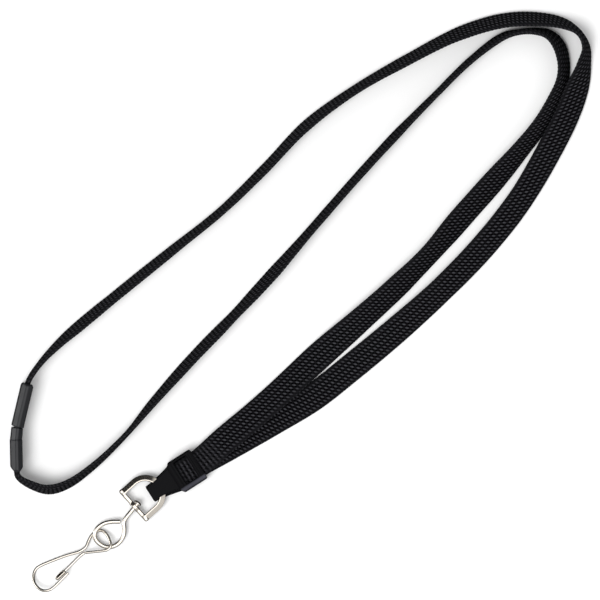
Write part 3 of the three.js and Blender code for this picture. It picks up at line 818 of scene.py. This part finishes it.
# ---- breakaway connector: x = 0 is the parting line, and the socket lies along +x ------------------------
BARREL_STEP = 0.11
BARREL_SIZE = (4.2, 11.6)  # width and height
NECK_SIZE = (3.95, 11.0)
ROOF_DROP, ROOF_HALF = 1.4, 0.3  # how far the roof falls to the sides, and half its flat ridge
END_CHAMFER = (0.9, 1.0)  # along the barrel and down
PARTING_GAP = 0.1
SOCKET_LENGTH = 15.1
BORE = (-3.0, -1.4, -4.0), (7.8, 1.4, 4.0)
STEM = (-1.5, -1.0, -3.7), (7.2, 1.0, 3.7)
STRAP_ROOM = (6.0, 1.05, 4.85)  # for a strap's end: its depth, and half its width and height
NECK_BEND = math.radians(7.4)
NECK_START, NECK_FACE = -5.5, -0.2  # the neck runs from inside the plug's barrel to just short of the socket
LONG_ENOUGH = 20.0  # for a barrel that is cut off nearer
PLUG_START, PLUG_TURN = (-4.1, -0.53), math.radians(194.5)
PLUG_LENGTH = 11.1


def barrel(x, y, z, end, taper, size=BARREL_SIZE):
    """A roof-topped barrel from x = 0 to its tapered end."""
    half, tall = size[0] / 2, size[1] / 2
    eaves = tall - ROOF_DROP
    section = polygon(y, z, mirrored([(half, eaves), (ROOF_HALF, tall), (-ROOF_HALF, tall), (-half, eaves)]))
    plan = polygon(x, y, mirrored([(0, half), (end - taper, half), (end, half - 0.7 * taper)]))
    profile = polygon(x, z, mirrored([(0, tall), (end - END_CHAMFER[0], tall), (end, tall - END_CHAMFER[1])]))
    return hull_of(hull_of(section, plan, radius=0.35), profile, radius=0.25)


def strap_pocket(x, y, z, end):
    """Room for the end of a strap, open at the barrel's end."""
    depth, half, tall = STRAP_ROOM
    return box_field(x, y, z, (end - depth, -half, -tall), (end + 2, half, tall), radius=0.3)


def connector_socket():
    low, high = (-0.3, -2.7, -6.4), (15.8, 2.7, 6.4)
    x, y, z = grid(low, high, BARREL_STEP)
    body = barrel(x - PARTING_GAP, y, z, SOCKET_LENGTH, taper=0.9)
    body = without(body, box_field(x, y, z, *BORE, radius=0.2), radius=0.15)
    body = without(body, strap_pocket(x, y, z, SOCKET_LENGTH + PARTING_GAP), radius=0.2)
    return surface("connector_socket", body, low, BARREL_STEP, CONNECTOR_PLACE)


def connector_plug():
    """The stem that goes into the socket, a bent neck, and a barrel that points away from the socket."""
    low, high = (-15.8, -6.4, -6.4), (7.7, 2.6, 6.4)
    x, y, z = grid(low, high, BARREL_STEP)
    stem = box_field(x, y, z, *STEM, radius=0.3)
    nx, ny = turned(x, y, NECK_BEND)
    neck = barrel(nx - NECK_START, ny, z, LONG_ENOUGH, taper=0.5, size=NECK_SIZE)
    neck = hull_of(neck, nx - NECK_FACE, radius=0.15)
    bx, by = turned(x - PLUG_START[0], y - PLUG_START[1], PLUG_TURN)
    body = barrel(bx, by, z, PLUG_LENGTH, taper=1.9)
    body = without(body, strap_pocket(bx, by, z, PLUG_LENGTH), radius=0.2)
    plug = joined(joined(stem, neck, radius=0.1), body, radius=0.12)
    return surface("connector_plug", plug, low, BARREL_STEP, CONNECTOR_PLACE)


HARDWARE = (
    (clamp_shell, "clamp_base", "root", CLAMP_PLASTIC, "clamp_plastic"),
    (clamp_lid, "clamp_cover", "root", CLAMP_PLASTIC, "clamp_plastic"),
    (ring_casting, "d_ring", "ring", RING_NICKEL, "plated_ring"),
    (eye_wire, "swivel_eye", "eye", WIRE_NICKEL, "plated_wire"),
    (hook_bent_wire, "hook_wire", "hook", WIRE_NICKEL, "plated_wire"),
    (gate_wire, "hook_gate", "gate", GATE_NICKEL, "plated_wire"),
    (connector_socket, "breakaway_socket", "root", CONNECTOR_PLASTIC, "connector_plastic"),
    (connector_plug, "breakaway_plug", "plug", CONNECTOR_PLASTIC, "connector_plastic"),
)
for build, node, body, material, slot in HARDWARE:
    made = build()
    dress(made, material, body)
    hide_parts(node)


# ---- floor and light -----------------------------------------------------------------------------------
FLOOR_HALF = 1500.0
FLOOR_GAP = 0.05
EVEN_LIGHT = 0.77
DARK_WALLS = 0.03
KEY_POWER = 23.0
KEY_PLACE = (-740, 0, 1580)
KEY_SIDE = 800.0
# Each softbox is its azimuth and elevation, the angles from its middle where it starts and ends fading, and
# its strength.
SOFTBOXES = (
    (-60, 84, 28, 46, 1.5),
    (-135, 20, 50, 105, 0.24),
    (-75, 35, 20, 45, 0.45),
    (-5, 43, 8, 24, 0.9),
    (128, 13, 10, 28, 2.8),
)


def make_floor():
    corners = [(x * FLOOR_HALF, y * FLOOR_HALF, 0) for x, y in ((-1, -1), (1, -1), (1, 1), (-1, 1))]
    floor = new_piece("floor", corners, [(0, 1, 2, 3)])
    floor.data.materials.append(Shader("white_board", (0.88, 0.88, 0.88), 0.6, specular=0.2).material)
    floor.location.z = -FLOOR_GAP * MM
    floor.visible_glossy = False


def make_key_light():
    """A soft lamp that looks at the origin. It shades what is matt, and what is glossy doesn't show it."""
    data = bpy.data.lights.new("key", "AREA")
    data.shape = "RECTANGLE"
    data.size = data.size_y = KEY_SIDE * MM
    data.energy = KEY_POWER
    lamp = bpy.data.objects.new("key", data)
    lamp.location = Vector(KEY_PLACE) * MM
    lamp.rotation_euler = (-Vector(KEY_PLACE)).to_track_quat("-Z", "Y").to_euler()
    lamp.visible_glossy = False
    bpy.context.scene.collection.objects.link(lamp)


def make_world():
    """Even light for what is matt. What is glossy reflects a studio: a bright ceiling and dark walls."""
    world = bpy.data.worlds.new("studio")
    bpy.context.scene.world = world
    world.use_nodes = True
    tree = world.node_tree

    def node(kind, *values, **settings):
        made = tree.nodes.new(kind)
        for key, value in settings.items():
            setattr(made, key, value)
        for socket, value in zip(made.inputs, values):
            if isinstance(value, bpy.types.NodeSocket):
                tree.links.new(value, socket)
            else:
                socket.default_value = value
        return made

    direction = node("ShaderNodeTexCoord").outputs["Generated"]
    total = DARK_WALLS
    for azimuth, elevation, inner, outer, strength in SOFTBOXES:
        flat = math.cos(math.radians(elevation))
        aim = (
            flat * math.cos(math.radians(azimuth)),
            flat * math.sin(math.radians(azimuth)),
            math.sin(math.radians(elevation)),
        )
        facing = node("ShaderNodeVectorMath", direction, aim, operation="DOT_PRODUCT").outputs["Value"]
        edges = (math.cos(math.radians(outer)), math.cos(math.radians(inner)))
        share = node("ShaderNodeMapRange", facing, *edges, 0.0, strength, interpolation_type="SMOOTHSTEP")
        total = node("ShaderNodeMath", total, share.outputs[0], operation="ADD").outputs[0]
    level = node("ShaderNodeMix", data_type="FLOAT")
    even_socket, studio_socket = level.inputs[2], level.inputs[3]  # the two that are plain numbers
    even_socket.default_value = EVEN_LIGHT
    tree.links.new(total, studio_socket)
    tree.links.new(node("ShaderNodeLightPath").outputs["Is Glossy Ray"], level.inputs["Factor"])
    tree.links.new(level.outputs[0], tree.nodes["Background"].inputs["Strength"])
    tree.nodes["Background"].inputs["Color"].default_value = (1.0, 1.0, 1.0, 1.0)


make_floor()
make_world()
make_key_light()
bpy.context.scene.view_settings.view_transform = "Standard"
